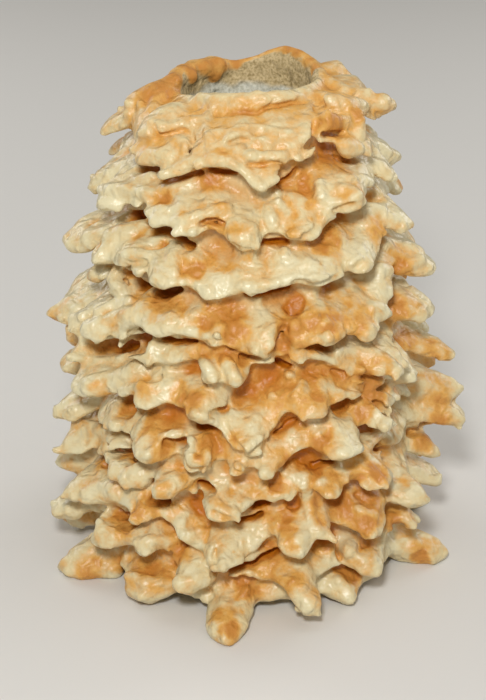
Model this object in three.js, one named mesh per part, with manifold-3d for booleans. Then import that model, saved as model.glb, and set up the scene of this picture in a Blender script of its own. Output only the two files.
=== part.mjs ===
// A spit cake: batter poured in thin coats on a turning spit by a fire, so that it sets as a tall hollow
// core with rows of drips round it, each row a wavy skirt with blunt tips. It stands on its foot, and the
// spit's hole runs right through. Millimetres, +Z up. The origin is on the table, under the middle of the
// cake's outline. Azimuths are in degrees, 0 towards -Y and positive towards +X.
import * as THREE from "three";
import { mergeVertices } from "three/addons/utils/BufferGeometryUtils.js";
import Module from "manifold-3d";

// Driving dimensions of the core and of the hole that the spit leaves in it.
const HEIGHT = 357; // to the rim, on the average
const CORE_PROFILE = [[98, 0], [103, 90], [96, 190], [81, 285], [72, 325], [51, HEIGHT]]; // radius, height
const SIDES = 86; // facets round the cake
const CROWDING = 0.3; // of the facets towards -Y, 0 for even ones
const HOLE_RADIUS_TOP = 46;
const HOLE_RADIUS_FOOT = 54;
const RIM_RISES = [4, 5, 4, 8, -1, -8, -9, -2]; // of the uneven rim, at even steps round it

// Driving dimensions of a skirt and its tips. Tips grow shorter towards the top, as the core grows thinner.
const LENGTH_FOOT = 45;
const LENGTH_TOP = 27;
const BREADTH = 32; // of a tip, half way along it
const THICKNESS = 13;
const FALL = 17; // the root is this far above the nose of a tip
const COLLAR_FALL = 34; // the same for the collar under the rim
const ROUNDING = 7; // from a skirt's full thickness to its nose
const LEAST_PITCH = 18; // from one row up to the next, where they come near each other
const TIP_PITCH = 44; // common distance of tips along a row, on the sides that the table doesn't give

// The rows of drips from the foot up: how far the skirt reaches between its tips towards -Y, beside a tip's
// length, then its tips on that side, each as azimuth, height, and stretch and spread, which are its length and
// breadth beside a common tip's. The last row is the collar under the rim.
const ROWS = [
  [0.5, [-90, 10, 0.9, 1.0], [-62, 6, 1.2, 0.9], [-35, 9, 0.9, 1.4], [-5, 6, 1.0, 0.9],
    [32, 7, 0.9, 0.7], [72, 6, 1.2, 0.8]],
  [0.6, [-75, 38, 1.1, 1.0], [-48, 44, 1.0, 1.0], [-33, 46, 0.9, 0.8], [-17, 30, 1.0, 0.8],
    [15, 27, 1.0, 0.7], [38, 29, 1.0, 1.0], [58, 45, 0.9, 0.7], [88, 45, 1.0, 0.9]],
  [0.6, [-85, 62, 0.9, 0.9], [-62, 66, 1.0, 1.1], [-34, 70, 0.9, 0.9], [-8, 50, 1.0, 0.9],
    [13, 62, 1.1, 0.8], [22, 68, 1.0, 0.6], [38, 61, 1.0, 1.1], [56, 70, 1.1, 0.8], [84, 74, 0.9, 0.9]],
  [0.6, [-73, 88, 1.0, 0.9], [-45, 94, 0.8, 0.8], [-25, 100, 1.1, 0.6], [-7, 89, 1.0, 1.1],
    [25, 95, 0.9, 1.0], [42, 95, 1.0, 1.2], [88, 98, 1.4, 0.9]],
  [0.65, [-76, 114, 1.0, 0.9], [-30, 126, 1.1, 1.0], [-15, 125, 1.0, 0.6], [-4, 122, 1.0, 0.6],
    [6, 119, 1.0, 0.5], [28, 130, 1.1, 1.2], [44, 139, 1.0, 0.8], [90, 118, 1.4, 0.9]],
  [0.65, [-88, 136, 0.8, 0.8], [-60, 152, 1.1, 1.1], [-33, 158, 0.9, 0.9], [-14, 160, 1.0, 0.7],
    [-1, 139, 1.1, 0.9], [19, 160, 1.0, 1.1], [62, 155, 0.8, 0.9], [87, 150, 1.3, 0.8]],
  [0.6, [-90, 156, 0.8, 0.8], [-66, 170, 1.0, 0.9], [-38, 183, 0.7, 1.0], [-8, 190, 0.8, 1.1],
    [14, 190, 0.7, 1.0], [48, 173, 1.1, 1.3], [75, 196, 1.1, 1.1]],
  [0.8, [-90, 177, 1.3, 0.8], [-70, 188, 1.1, 0.7], [-55, 197, 1.1, 0.8], [-29, 212, 1.0, 1.1],
    [-11, 212, 1.0, 0.9], [5, 204, 1.0, 1.1], [25, 211, 1.0, 1.2], [40, 208, 1.0, 0.6],
    [79, 226, 1.2, 1.2]],
  [0.85, [-85, 240, 1.2, 1.3], [-62, 243, 0.9, 0.7], [-29, 247, 1.1, 1.1], [-12, 241, 1.0, 0.7],
    [2, 247, 1.0, 0.9], [25, 250, 1.0, 1.3], [40, 252, 1.0, 0.7], [68, 264, 1.1, 0.9]],
  [0.75, [-86, 279, 1.0, 0.8], [-63, 282, 1.0, 1.1], [-35, 286, 0.9, 1.0], [-22, 283, 1.0, 0.9],
    [-1, 277, 0.9, 0.8], [19, 280, 1.0, 1.1], [40, 296, 1.1, 1.0], [72, 293, 0.85, 0.8]],
  [0.8, [-88, 319, 1.0, 0.9], [-51, 317, 0.9, 0.6], [-33, 313, 0.95, 0.8], [-12, 322, 0.85, 0.9],
    [5, 311, 1.0, 0.7], [19, 324, 0.85, 0.6], [32, 334, 0.7, 0.6], [53, 319, 1.0, 0.7], [78, 318, 0.6, 0.9]],
];
const COLLAR = ROWS.length - 1;
const SIDE_WEB = 0.3; // as the first value of a row, on the sides, where the tips stand apart
const WEB_EDGES = [45, 75]; // azimuths between which the one goes over into the other
const GIVEN_SIDE = 98; // the table gives the tips within this azimuth
const FAR_ROW_LOWEST = 8;
const FAR_ROW_HIGHEST = 318;
const SEED = 20;

// Single drips that stand clear of the rows, with the same four values as a tip.
const SINGLE_DRIPS = [
  [-6, 6, 1.45, 0.8], [16, 20, 1.2, 0.5], [-11, 187, 1.0, 0.4], [-4, 185, 1.0, 0.4], [-78, 214, 0.7, 0.6],
  [-58, 222, 0.6, 0.7], [-1, 274, 1.2, 0.7], [-84, 338, 0.75, 0.6], [-50, 334, 0.9, 0.7],
  [56, 340, 1.0, 0.7], [84, 339, 1.35, 0.45],
];
const DRIP_SIDES = 8;
const DRIP_RINGS = 6;
const DRIP_ROOT = 14; // how far a single drip reaches into the core
const DRIP_FALL = 11;
const BLUNTNESS = 0.62; // below 1 squares off its nose

// Two small drips hang from the rim into the hole: azimuths and size.
const RIM_DRIPS = [-136, -151];
const RIM_DRIP_RADIUS = 7;

const CRUST = { color: 0xdcc48a, roughness: 0.4, metalness: 0 };

const { clamp, lerp, smoothstep, degToRad, radToDeg } = THREE.MathUtils;
const wasm = await Module();
wasm.setup();

// A closed three.js geometry as a solid that can be joined and cut.
function solidOf(geometry) {
  const bare = geometry.clone();
  bare.deleteAttribute("normal");
  bare.deleteAttribute("uv");
  const merged = mergeVertices(bare, 1e-3);
  return new wasm.Manifold(
    new wasm.Mesh({
      numProp: 3,
      vertProperties: new Float32Array(merged.attributes.position.array),
      triVerts: new Uint32Array(merged.index.array),
    }),
  );
}

// The other way: a solid's triangles as a flat-shaded geometry.
function geometryOf(solid) {
  const { vertProperties, triVerts } = solid.getMesh();
  const indexed = new THREE.BufferGeometry();
  indexed.setAttribute("position", new THREE.BufferAttribute(vertProperties, 3));
  indexed.setIndex(new THREE.BufferAttribute(triVerts, 1));
  const geometry = indexed.toNonIndexed();
  geometry.computeVertexNormals();
  return geometry;
}

// Moves every vertex of a geometry by a function that changes it in place.
function reshape(geometry, move) {
  const position = geometry.attributes.position;
  const vertex = new THREE.Vector3();
  for (let i = 0; i < position.count; i++) {
    move(vertex.fromBufferAttribute(position, i), i);
    position.setXYZ(i, vertex.x, vertex.y, vertex.z);
  }
  return geometry;
}

// Seeded draws between two values, the same on every run.
function seededDraws(seed) {
  let state = seed >>> 0;
  return (low, high) => {
    state = (state + 0x6d2b79f5) >>> 0;
    let t = Math.imul(state ^ (state >>> 15), state | 1);
    t ^= t + Math.imul(t ^ (t >>> 7), t | 61);
    return lerp(low, high, ((t ^ (t >>> 14)) >>> 0) / 4294967296);
  };
}

const coreCurve = new THREE.SplineCurve(CORE_PROFILE.map(([radius, z]) => new THREE.Vector2(radius, z)));
const coreOutline = coreCurve.getPoints(CORE_PROFILE.length * 8);

// The core's radius at a height.
function coreRadius(z) {
  const above = coreOutline.findIndex((point) => point.y >= z);
  if (above < 0) return coreOutline.at(-1).x;
  if (above === 0) return coreOutline[0].x;
  const [low, high] = [coreOutline[above - 1], coreOutline[above]];
  return lerp(low.x, high.x, (z - low.y) / (high.y - low.y));
}

// The rim's rise at an azimuth, smoothly from one given rise to the next.
function rimRise(azimuth) {
  const step = (THREE.MathUtils.euclideanModulo(azimuth, 360) / 360) * RIM_RISES.length;
  const [low, high] = [Math.floor(step), Math.ceil(step)].map((i) => RIM_RISES[i % RIM_RISES.length]);
  return lerp(low, high, smoothstep(step % 1, 0, 1));
}

const tipLength = (z) => lerp(LENGTH_FOOT, LENGTH_TOP, z / HEIGHT);

// The tips of a row on the sides that the table doesn't give, at uneven distances. Their heights lead from the
// table's last tip to its first, by way of an even pitch of the rows at the far side.
function otherTips(given, row, draw) {
  const [first, last] = [given[0][1], given.at(-1)[1]];
  const far = lerp(FAR_ROW_LOWEST, FAR_ROW_HIGHEST, row / (ROWS.length - 1));
  const pitch = radToDeg(TIP_PITCH / (coreRadius(far) + tipLength(far)));
  const shortest = Math.min(...given.map((tip) => tip[2]));
  const tips = [];
  const end = 360 - GIVEN_SIDE;
  for (let azimuth = GIVEN_SIDE + pitch / 2; azimuth < end; azimuth += pitch * draw(0.7, 1.2)) {
    const round = (azimuth - GIVEN_SIDE) / (end - GIVEN_SIDE);
    const height = lerp(lerp(last, first, round), far, Math.sin(Math.PI * round)) + draw(-6, 6);
    tips.push([azimuth, height, shortest * draw(0.8, 1.35), draw(0.7, 1.4)]);
  }
  return tips;
}

// How much a tip shapes its row at an azimuth: 1 at the tip, and half at half its breadth.
function tipShare(azimuth, [tipAzimuth, height, , spread]) {
  const turn = THREE.MathUtils.euclideanModulo(azimuth - tipAzimuth + 180, 360) - 180;
  const distance = degToRad(turn) * (coreRadius(height) + tipLength(height));
  return 1 / (1 + (distance / ((BREADTH * spread) / 2)) ** 4);
}

// A row's height and stretch at an azimuth, out of all its tips.
function edgeAt(azimuth, frontWeb, tips) {
  const shares = tips.map((tip) => tipShare(azimuth, tip));
  const web = lerp(frontWeb, Math.min(frontWeb, SIDE_WEB), smoothstep(Math.abs(azimuth), ...WEB_EDGES));
  const stretch = Math.max(web, ...tips.map((tip, i) => shares[i] * tip[2]));
  const weight = shares.reduce((sum, share) => sum + share, 0);
  const height = tips.reduce((sum, tip, i) => sum + tip[1] * shares[i], 0) / weight;
  return { stretch, height };
}

// How far above its nose a sheet of batter is at a distance out from the core.
const riseAt = (out, length, fall) => fall * clamp(1 - out / length, 0, 1) ** 1.4;

// The cake's section at one azimuth: up the hole's wall, over the rim and down the skirts to the foot.
function sectionAt(azimuth, rows) {
  const rim = HEIGHT + rimRise(azimuth);
  const points = [];
  let below = -LEAST_PITCH;
  rows.forEach(([web, ...tips], row) => {
    const { stretch, height } = edgeAt(azimuth, web, tips);
    const z = Math.max(height, below + LEAST_PITCH);
    below = z;
    const core = coreRadius(z);
    const length = tipLength(z);
    const nose = stretch * length;
    const full = Math.max(nose - ROUNDING, 1);
    const half = THICKNESS / 2;
    const fall = Math.min(row === COLLAR ? COLLAR_FALL : FALL, rim - z - THICKNESS);
    const root = z + fall;
    const lip = z + riseAt(full, length, fall);
    points.push(
      [coreRadius(root - half), root - half],
      [core + full, lip - half],
      [core + nose, z + riseAt(nose, length, fall)],
      [core + full, lip + half],
      [coreRadius(root + half), root + half],
    );
  });
  return [[HOLE_RADIUS_FOOT, 0], [CORE_PROFILE[0][0], 0], ...points, [CORE_PROFILE.at(-1)[0], rim],
    [HOLE_RADIUS_TOP, rim - 2], [HOLE_RADIUS_FOOT, 0]];
}

// The angle at which a facet starts, from -180 to 180 degrees: they are closer together towards -Y.
function facetAngle(side) {
  const even = ((side + 0.5) / SIDES - 0.5) * 2 * Math.PI;
  return even - CROWDING * Math.sin(even);
}

// The core with all its skirts: a lathe whose section changes as it goes round.
function coreAndSkirts() {
  const draw = seededDraws(SEED);
  const rows = ROWS.map(([web, ...tips], row) => [web, ...tips, ...otherTips(tips, row, draw)]);
  const count = sectionAt(0, rows).length;
  const blank = Array.from({ length: count }, (_, i) => new THREE.Vector2(1, i));
  const lathe = new THREE.LatheGeometry(blank, SIDES);
  const angles = Array.from({ length: SIDES }, (_, side) => facetAngle(side));
  const sections = angles.map((angle) => sectionAt(radToDeg(angle), rows));
  return reshape(lathe, (v, i) => {
    const side = Math.floor(i / count) % SIDES;
    const [radius, z] = sections[side][i % count];
    v.set(radius * Math.sin(angles[side]), -radius * Math.cos(angles[side]), Math.max(z, 0));
  });
}

// A drip that stands alone: a lobe with its root in the core, which falls a little towards its blunt nose.
function singleDrip(azimuth, height, stretch, spread) {
  const length = tipLength(height);
  const lobe = new THREE.SphereGeometry(1, DRIP_SIDES, DRIP_RINGS);
  reshape(lobe, (v) => {
    const blunt = (Math.hypot(v.x, v.z) || 1) ** (BLUNTNESS - 1);
    const along = (1 + Math.sign(v.y) * Math.abs(v.y) ** BLUNTNESS) / 2;
    const out = lerp(-DRIP_ROOT, stretch * length, along);
    const across = (-v.x * blunt * BREADTH * spread) / 2;
    const up = (v.z * blunt * THICKNESS) / 2;
    v.set(across, -coreRadius(height) - out, height + riseAt(out, length, DRIP_FALL) + up);
  });
  return lobe.rotateZ(degToRad(azimuth));
}

// A small drip that hangs over the rim's inner edge.
function rimDrip(azimuth) {
  const ball = new THREE.SphereGeometry(RIM_DRIP_RADIUS, DRIP_SIDES, DRIP_RINGS);
  return ball.translate(0, -HOLE_RADIUS_TOP, HEIGHT - RIM_DRIP_RADIUS / 2).rotateZ(degToRad(azimuth));
}

// Everything below the table, to cut the foot flat.
function belowTable() {
  const size = 4 * LENGTH_FOOT + 2 * CORE_PROFILE[0][0];
  return new THREE.BoxGeometry(size, size, HEIGHT).translate(0, 0, -HEIGHT / 2);
}

function spitCake() {
  let solid = solidOf(coreAndSkirts());
  for (const values of SINGLE_DRIPS) solid = solid.add(solidOf(singleDrip(...values)));
  for (const azimuth of RIM_DRIPS) solid = solid.add(solidOf(rimDrip(azimuth)));
  solid = solid.subtract(solidOf(belowTable()));
  const geometry = geometryOf(solid);
  geometry.computeBoundingBox();
  const middle = geometry.boundingBox.getCenter(new THREE.Vector3());
  geometry.translate(-middle.x, -middle.y, 0);
  const mesh = new THREE.Mesh(geometry, new THREE.MeshStandardMaterial(CRUST));
  mesh.name = "spit_cake";
  return mesh;
}

const cake = new THREE.Group();
cake.add(spitCake());

export default cake;
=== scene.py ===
import math

import bpy
import numpy as np
import openvdb
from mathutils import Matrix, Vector


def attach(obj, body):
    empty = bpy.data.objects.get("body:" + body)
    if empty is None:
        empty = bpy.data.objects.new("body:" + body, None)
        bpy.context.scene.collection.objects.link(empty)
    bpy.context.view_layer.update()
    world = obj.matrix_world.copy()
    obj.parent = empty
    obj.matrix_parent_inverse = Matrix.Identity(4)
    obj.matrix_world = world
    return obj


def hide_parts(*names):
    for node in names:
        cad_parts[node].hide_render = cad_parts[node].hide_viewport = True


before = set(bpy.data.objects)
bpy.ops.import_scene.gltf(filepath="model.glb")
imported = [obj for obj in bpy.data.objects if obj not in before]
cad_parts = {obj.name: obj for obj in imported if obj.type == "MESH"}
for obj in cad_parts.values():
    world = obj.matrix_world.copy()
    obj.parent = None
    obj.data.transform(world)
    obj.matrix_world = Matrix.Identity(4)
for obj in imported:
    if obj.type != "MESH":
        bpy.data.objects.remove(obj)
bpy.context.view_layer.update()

# The cake's core with its rows of drips: egg batter, ladled over a turning spit by a fire, runs outwards and
# sets, coat on coat. The frame's solid gives the rows and the tips. It becomes a field of distances to its
# surface here, in millimetres, so that the last coats can be laid over it.
MM_PER_M = 1000.0
CELL = 1.4
FIELD_REACH = 16.0
AXIS = np.array([-6.8, 4.9])  # of the spit, in the frame
ROUNDING = 1.5
COATS_FROM = 54.0  # from the axis: nearer, the hole's wall stays as it is
COATS_WHOLE = 68.0  # from the axis: further out, the last coats are laid in full


def points_and_triangles(mesh):
    """A mesh's points and the corners of its triangles, as arrays."""
    mesh.calc_loop_triangles()
    points = np.empty(3 * len(mesh.vertices), np.float32)
    mesh.vertices.foreach_get("co", points)
    triangles = np.empty(3 * len(mesh.loop_triangles), np.int32)
    mesh.loop_triangles.foreach_get("vertices", triangles)
    return points.reshape(-1, 3), triangles.reshape(-1, 3)


core_points, core_triangles = points_and_triangles(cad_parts["spit_cake"].data)
core_points = core_points * MM_PER_M
level_set = openvdb.FloatGrid.createLevelSetFromPolygons(
    core_points,
    triangles=core_triangles.astype(np.uint32),
    transform=openvdb.createLinearTransform(CELL),
    halfWidth=FIELD_REACH / CELL,
)
first_cell = np.floor((core_points.min(0) - FIELD_REACH) / CELL).astype(int)
last_cell = np.ceil((core_points.max(0) + FIELD_REACH) / CELL).astype(int)
cells = tuple((last_cell - first_cell + 1).tolist())
distance = np.full(cells, FIELD_REACH, np.float32)
level_set.copyToArray(distance, ijk=tuple(first_cell.tolist()))
cell_x, cell_y, cell_z = [((np.arange(count) + first) * CELL).astype(np.float32)
                          for count, first in zip(cells, first_cell)]
from_axis_x = cell_x[:, None] - AXIS[0]
from_axis_y = cell_y[None, :] - AXIS[1]
reach = np.hypot(from_axis_x, from_axis_y)
azimuth = np.arctan2(from_axis_x, -from_axis_y)  # 0 towards -Y, positive towards +X


def blurred(field, radius, cell=CELL):
    """The field averaged over a round neighbourhood, with the radius in millimetres."""
    width = int(math.ceil(2.5 * radius / cell))
    steps = np.arange(-width, width + 1)
    weights = np.exp(-0.5 * (steps * cell / radius) ** 2)
    weights = (weights / weights.sum()).astype(np.float32)
    for axis in range(3):
        padded = np.pad(field, [(width, width) if a == axis else (0, 0) for a in range(3)], mode="edge")
        total = np.zeros_like(field)
        for step, weight in enumerate(weights):
            window = [slice(None)] * 3
            window[axis] = slice(step, step + field.shape[axis])
            total += weight * padded[tuple(window)]
        field = total
    return field


def smooth_step(values, start, end):
    """From 0 at start to 1 at end, levelling off at both."""
    share = np.clip((values - start) / (end - start), 0.0, 1.0)
    return share * share * (3.0 - 2.0 * share)


distance = blurred(distance, ROUNDING)
outside = smooth_step(reach, COATS_FROM, COATS_WHOLE)[:, :, None]

# The lips of the rows: batter that runs off an edge hangs there as a thin skirt, so each row is hollowed from
# below and behind, and its outer face keeps its place.
UNDERCUT_FROM = 8.0
LIP_CUT = (5.0, 2)  # outwards in millimetres, and up in cells
hollowed = np.minimum(outside, smooth_step(cell_z, UNDERCUT_FROM, 2.0 * UNDERCUT_FROM)[None, None, :])


def undercut(field, outwards, cells_up):
    """The part of the batter that it shares with itself moved outwards, in millimetres, and up."""
    shrink = (1.0 - outwards / np.maximum(reach, outwards)).astype(np.float32)
    inner_x = (AXIS[0] + from_axis_x * shrink) / CELL - first_cell[0]
    inner_y = (AXIS[1] + from_axis_y * shrink) / CELL - first_cell[1]
    left_x = np.clip(inner_x.astype(int), 0, cells[0] - 2)
    left_y = np.clip(inner_y.astype(int), 0, cells[1] - 2)
    moved = np.zeros_like(field)
    for step_x, step_y in np.ndindex(2, 2):
        share = (1.0 - np.abs(inner_x - left_x - step_x)) * (1.0 - np.abs(inner_y - left_y - step_y))
        moved += share[:, :, None].astype(np.float32) * field[left_x + step_x, left_y + step_y]
    moved[:, :, cells_up:] = moved[:, :, :-cells_up].copy()
    return np.maximum(field, moved - FIELD_REACH * (1.0 - hollowed))


distance = undercut(distance, *LIP_CUT)

# The older coats between the rows: set batter fills the gaps behind the lips, far out at the front, which was
# basted most, and less at the sides. The fill is the cake's envelope, sunk by a depth that changes round it.
ENVELOPE = 14.0
FILL_TURNS = (0.45, 1.0, 1.8, 2.4)  # radians away from the front
FILL_DEPTHS = (9.0, 26.0, 26.0, 14.0)  # at these turns
FILL_BLEND = 3.0
WIDE_CELL = 2 * CELL
WIDE_REACH = 42.0


def surface_of(field):
    """The points, in millimetres, and the quads of the surface where the field is 0."""
    grid = openvdb.FloatGrid(FIELD_REACH)
    grid.transform = openvdb.createLinearTransform(CELL)
    grid.copyFromArray(field.astype(np.float32), ijk=tuple(first_cell.tolist()))
    points, quads = grid.convertToQuads(0.0)
    return points, quads[:, ::-1].copy()


swollen_points, swollen_quads = surface_of(distance - ENVELOPE)
envelope_set = openvdb.FloatGrid.createLevelSetFromPolygons(
    swollen_points,
    quads=swollen_quads,
    transform=openvdb.createLinearTransform(WIDE_CELL),
    halfWidth=WIDE_REACH / WIDE_CELL,
)
wide_first = first_cell // 2
wide_cells = [count // 2 + 3 for count in cells]
envelope = np.full(wide_cells, WIDE_REACH, np.float32)
envelope_set.copyToArray(envelope, ijk=tuple(wide_first.tolist()))


def spline_weights(places, knots):
    """What each knot of a smooth closed curve gives at these places, counted in knots."""
    left = np.floor(places).astype(int)
    part = (places - left)[:, None]
    ramps = np.hstack([(1 - part) ** 3, 4 - 6 * part**2 + 3 * part**3,
                       1 + 3 * part + 3 * part**2 - 3 * part**3, part**3]) / 6
    weights = np.zeros((len(places), knots), np.float32)
    for offset in range(4):
        weights[np.arange(len(places)), (left + offset) % knots] += ramps[:, offset]
    return weights


def spread_out(values, spacing, offset=(0.0, 0.0, 0.0)):
    """Values that stand this many cells apart, smoothly spread over all the cells of the field."""
    along = [spline_weights(np.arange(count) / spacing + start, knots)
             for count, start, knots in zip(cells, offset, values.shape)]
    sheets = (along[0] @ values.reshape(len(values), -1)).reshape(cells[0], *values.shape[1:])
    return np.matmul(np.matmul(along[1], sheets), along[2].T)


def smooth_union(first, second, blend):
    """The lesser of two distances, with a fillet of this size in millimetres where the surfaces meet."""
    share = np.clip(0.5 + 0.5 * (second - first) / blend, 0.0, 1.0)
    return second + (first - second) * share - blend * share * (1.0 - share)


envelope = spread_out(envelope, 2.0, first_cell / 2 - wide_first - 1.0) + ENVELOPE
fill_depth = np.interp(np.abs(azimuth), FILL_TURNS, FILL_DEPTHS)[:, :, None].astype(np.float32)
distance = smooth_union(distance, envelope + fill_depth, FILL_BLEND)

# The last coats of batter: they swell unevenly as they set and run down and out in ridges, but lie smooth on
# the collar, where the batter was too thick to run.
SPLINE_SPREAD = 0.33  # what a spline leaves of a random draw's spread in three directions
COMMON_REACH = 115.0
COLLAR_FROM = 308.0
COLLAR_WHOLE = 322.0
COLLAR_SMOOTH = 0.6  # the share of the small swellings that the collar lacks
COAT_LEVEL = -0.9
LARGE_LUMPS, SMALL_LUMPS, FINE_LUMPS = (30.0, 1), (13.0, 2), (6.5, 3)  # size and seed
LARGE_RISE, SMALL_RISE, FINE_RISE = 1.2, 0.7, 0.4
LONG_RIDGES, SHORT_RIDGES = (24.0, 50.0, 4), (12.0, 30.0, 5)  # breadth, height and seed
LONG_RISE, SHORT_RISE = 1.2, 0.7


def lumps(size, seed):
    """Smooth random values all over the field, mostly from -1 to 1, with swellings of this size in mm."""
    spacing = 0.5 * size / CELL
    counts = [int(count / spacing) + 4 for count in cells]
    values = np.random.default_rng(seed).standard_normal(counts).astype(np.float32)
    return spread_out(values / (2.0 * SPLINE_SPREAD), spacing)


def ridges(breadth, height, seed):
    """The same, but the swellings have this breadth round the cake and this height, and run outwards."""
    round_count = int(round(2 * math.pi * COMMON_REACH / (0.5 * breadth)))
    up_spacing = 0.5 * height / CELL
    up_count = int(cells[2] / up_spacing) + 4
    values = np.random.default_rng(seed).standard_normal((round_count, up_count)).astype(np.float32)
    around = spline_weights((azimuth.ravel() / (2 * math.pi) + 0.5) * round_count, round_count)
    upwards = spline_weights(np.arange(cells[2]) / up_spacing, up_count)
    values = (around @ (values @ upwards.T)).reshape(cells)
    return values / (2.0 * values.std())


collar = smooth_step(cell_z, COLLAR_FROM, COLLAR_WHOLE)[None, None, :]
small_swellings = SMALL_RISE * lumps(*SMALL_LUMPS) + FINE_RISE * lumps(*FINE_LUMPS)
coat = COAT_LEVEL + LARGE_RISE * lumps(*LARGE_LUMPS) + (1.0 - COLLAR_SMOOTH * collar) * small_swellings
coat += (1.0 - collar) * (LONG_RISE * ridges(*LONG_RIDGES) + SHORT_RISE * ridges(*SHORT_RIDGES))
distance -= outside * coat

# The last coat of batter, thin and pale. It gathers along the edges of the rows, and where it ran off it left
# the older coats bare, which the fire had toasted. These places were read off the photo: the pixel's column
# and row, and the radius in millimetres. On the sides that it doesn't show, they are drawn at random.
CAMERA_AWAY = 1400.0
CAMERA_HEIGHT = 780.0
CAMERA_LEFT = 4.4
AIM_HEIGHT = 150.0
PHOTO_MIDDLE = (243.0, 350.0)
FOCAL_PIXELS = 2096.0
NEAREST, FARTHEST = 1150.0, 1750.0  # along the camera's view
TOASTED = (
    (150, 96, 7), (160, 86, 8), (172, 76, 9), (190, 68, 9), (208, 64, 9), (222, 64, 8), (195, 77, 6),
    (216, 77, 6), (235, 63, 5), (248, 57, 3), (258, 53, 3), (268, 49, 3), (278, 47, 3), (288, 48, 4),
    (298, 52, 5), (308, 59, 6), (314, 68, 6), (245, 115, 3), (262, 165, 3), (222, 153, 3), (360, 114, 5),
    (335, 122, 8), (325, 150, 8), (325, 158, 7), (165, 200, 7), (222, 206, 6), (215, 225, 10),
    (236, 228, 8), (208, 178, 8), (300, 190, 12), (312, 206, 8), (328, 236, 13), (290, 235, 8),
    (345, 195, 7), (166, 246, 4), (195, 272, 9), (208, 262, 7), (228, 270, 5), (375, 232, 8),
    (398, 264, 12), (160, 300, 12), (228, 318, 13), (236, 338, 12), (208, 327, 4), (300, 308, 9),
    (300, 336, 16), (330, 325, 12), (360, 326, 10), (400, 308, 12), (408, 342, 12), (430, 345, 10),
    (200, 352, 10), (232, 350, 10), (262, 378, 15), (285, 400, 15), (312, 375, 12), (310, 400, 14),
    (332, 372, 10), (370, 372, 12), (185, 402, 14), (170, 415, 12), (140, 385, 8), (375, 390, 9),
    (345, 405, 8), (360, 415, 6), (195, 365, 6), (175, 425, 9), (238, 440, 7), (150, 430, 6), (210, 440, 8),
    (165, 450, 8), (325, 445, 12), (305, 455, 12), (285, 460, 8), (285, 430, 9), (440, 400, 9),
    (440, 420, 9), (425, 440, 8), (105, 466, 6), (140, 508, 9), (150, 500, 8), (200, 500, 7), (198, 457, 3),
    (260, 512, 10), (282, 520, 10), (290, 508, 8), (275, 485, 7), (355, 478, 14), (370, 500, 14),
    (375, 470, 8), (345, 505, 8), (365, 525, 9), (395, 520, 8), (265, 545, 8), (285, 540, 9), (178, 556, 8),
    (150, 572, 10), (165, 575, 7), (88, 575, 9), (118, 560, 8), (245, 580, 12), (270, 572, 12),
    (290, 582, 8), (328, 546, 4), (350, 572, 8), (365, 545, 7), (218, 615, 7), (228, 632, 8), (420, 552, 7),
)
UNSEEN_TOASTED = 80
UNSEEN_FROM = 1.75  # radians away from the front
UNSEEN_HEIGHTS = (8.0, 350.0)
UNSEEN_RADII = (5.0, 14.0)
OUTER_REACH, INNER_REACH = 190.0, 60.0  # between which the unseen places are looked for
SPOT_REACH = 2.2
SPOT_FADE = 0.7
EDGE_RADIUS = 4.0
EDGE_LIMITS = (-2.5, 2.0)
THIN_COATS = ((36.0, 2.0, 12), (20.0, 1.5, 13), (11.0, 1.0, 14))  # breadth of the runs, thickness, seed
SHARP = 0.04  # half the width of a thin coat's border
SPREAD_LEVEL = 0.25  # how readily a thin coat spreads, and what adds to that or takes from it
EDGE_HOLDS = 0.25
TOAST_LACKS = 0.5
RIDGE_HOLDS = 0.9
LUMP_HOLDS = 0.5
LUMP_SIZE = 0.6  # of the breadth
COMMON_SHARE = 0.6  # of the surface that a thin coat covers
COVER_LEVEL = -0.5  # how well the last coat covers a place, and what adds to that or takes from it
COVER_LUMPS = ((20.0, 9), (8.0, 10))  # size and seed
COVER_CHANGE = 0.3
COAT_COVERS = 0.4
COLLAR_COVER = 0.05
COLLAR_EVEN = 0.6
LOWER_PART = (60.0, 190.0)  # which is toasted more, fully up to the first height
LOWER_LACKS = 0.2
camera_place = np.array([AXIS[0] - CAMERA_LEFT, AXIS[1] - CAMERA_AWAY, CAMERA_HEIGHT])
view_tilt = math.atan2(CAMERA_AWAY, CAMERA_HEIGHT - AIM_HEIGHT)
view_up = np.array([0.0, math.cos(view_tilt), math.sin(view_tilt)])
view_ahead = np.array([0.0, math.sin(view_tilt), -math.cos(view_tilt)])
view_depths = np.arange(NEAREST, FARTHEST)
draw = np.random.default_rng(11)
unseen_turns = draw.uniform(UNSEEN_FROM, 2.0 * math.pi - UNSEEN_FROM, UNSEEN_TOASTED)
unseen_heights = draw.uniform(*UNSEEN_HEIGHTS, UNSEEN_TOASTED)
unseen_radii = draw.uniform(*UNSEEN_RADII, UNSEEN_TOASTED)


def sampled(field, places, cell=CELL):
    """The field's values at places in millimetres, evened out between its cells."""
    inner = np.clip((places - first_cell * CELL) / cell, 0, np.array(field.shape) - 1.001)
    left = inner.astype(int)
    part = inner - left
    total = np.zeros(len(places))
    for corner in np.ndindex(2, 2, 2):
        share = np.prod(np.where(corner, part, 1 - part), axis=1)
        total += share * field[tuple((left + corner).T)]
    return total


def first_met(start, ray, depths):
    """Where a ray first meets the batter, or comes nearest to it."""
    spots = start + depths[:, None] * ray
    gaps = sampled(distance, spots)
    return spots[np.argmax(gaps < 0.0) if gaps.min() < 0.0 else gaps.argmin()]


def seen_at(column, row):
    """The place on the batter that shows at this pixel of the photo, in millimetres."""
    ray = view_ahead + (PHOTO_MIDDLE[1] - row) / FOCAL_PIXELS * view_up
    ray[0] += (column - PHOTO_MIDDLE[0]) / FOCAL_PIXELS
    return first_met(camera_place, ray, view_depths)


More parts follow.
